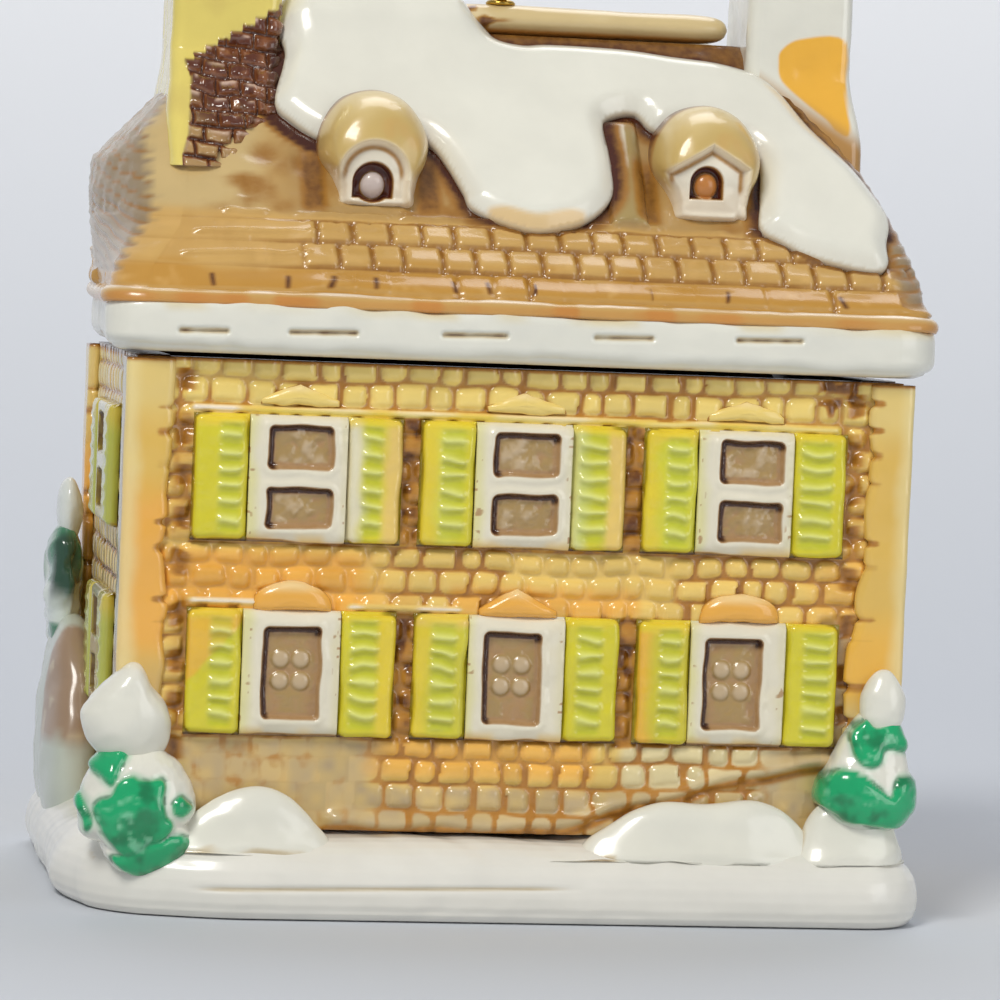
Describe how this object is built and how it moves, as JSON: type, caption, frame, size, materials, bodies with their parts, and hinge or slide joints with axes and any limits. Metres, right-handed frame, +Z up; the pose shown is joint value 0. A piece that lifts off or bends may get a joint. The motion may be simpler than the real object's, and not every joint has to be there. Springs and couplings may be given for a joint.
{
  "type": "house-shaped hanging ornament",
  "caption": "Glazed ceramic village house with shuttered stone walls, a snowy hipped roof with dormers and chimneys, pines and snow banks, and a brass hanging ring.",
  "frame": {"origin": "on the resting plane, under the middle of the snowy base", "axes": "+Z up, the front wall faces -Y, +X to the right seen from the front"},
  "size_m": [0.0636, 0.045, 0.0774],
  "materials": {
    "snow_white": "glossy glaze, warm white",
    "stone_yellow": "glossy glaze, ochre yellow with a brown wash in the joints",
    "quoin_orange": "glossy glaze, orange yellow",
    "shutter_lime": "glossy glaze, lime yellow with olive edges",
    "frame_white": "glossy glaze, off-white with taupe panes",
    "shingle_tan": "glossy glaze, tan with dark brown joints",
    "hood_beige": "glossy glaze, beige",
    "chimney_yellow": "glossy glaze, yellow, dark brown on the bare bricks",
    "pine_green": "glossy glaze, emerald green",
    "door_brown": "glossy glaze, brown",
    "brass": "polished wire"
  },
  "bodies": {
    "house": {"wall_shell": "stone_yellow", "roof_shell": "shingle_tan", "roof_snow_front": "snow_white", "eave_snow": "snow_white", "chimney_right": "chimney_yellow", "back_window_lower_right": "frame_white", "back_window_lower_left": "frame_white", "left_window_lower": "frame_white", "right_window_lower": "frame_white", "snow_base": "snow_white", "chimney_left": "chimney_yellow", "hanging_eye": "brass", "pine_front_right": "pine_green", "roof_snow_back": "snow_white", "pilaster_back_right": "quoin_orange", "pilaster_front_left": "quoin_orange", "back_window_upper_right": "frame_white", "back_window_upper_middle": "frame_white", "back_window_upper_left": "frame_white", "left_window_upper": "frame_white", "right_window_upper": "frame_white", "pilaster_front_right": "quoin_orange", "pilaster_back_left": "quoin_orange", "pine_front_left": "pine_green", "ridge_drift": "snow_white", "drift_corner_right": "snow_white", "pine_rear_left": "pine_green", "dormer_hood_left": "hood_beige", "dormer_hood_right": "hood_beige", "window_lower_left": "frame_white", "window_lower_right": "frame_white", "drift_front_left": "snow_white", "drift_rear_left": "snow_white", "drift_front_right": "snow_white", "window_lower_middle": "frame_white", "chimney_cap_left": "snow_white", "chimney_cap_right": "snow_white", "pine_snow_front_left": "snow_white", "pine_snow_rear_left": "snow_white", "back_door": "door_brown", "dormer_left": "frame_white", "dormer_right": "frame_white", "ridge_roll": "hood_beige", "shutter_lower_left_l": "shutter_lime", "shutter_lower_left_r": "shutter_lime", "shutter_upper_left_l": "shutter_lime", "shutter_upper_left_r": "shutter_lime", "shutter_lower_middle_l": "shutter_lime", "shutter_lower_middle_r": "shutter_lime", "shutter_upper_middle_l": "shutter_lime", "shutter_upper_middle_r": "shutter_lime", "shutter_lower_right_l": "shutter_lime", "shutter_lower_right_r": "shutter_lime", "shutter_upper_right_l": "shutter_lime", "shutter_upper_right_r": "shutter_lime", "window_upper_left": "frame_white", "window_upper_middle": "frame_white", "window_upper_right": "frame_white", "pine_snow_front_right": "snow_white"},
    "ring": {"hanging_ring": "brass"}
  },
  "joints": [
    {"name": "ring_swing", "type": "hinge", "parent": "house", "child": "ring", "pos_m": [0.00075, 0, 0.06963], "axis": [1, 0, 0], "range_deg": [-95, 95]}
  ]
}
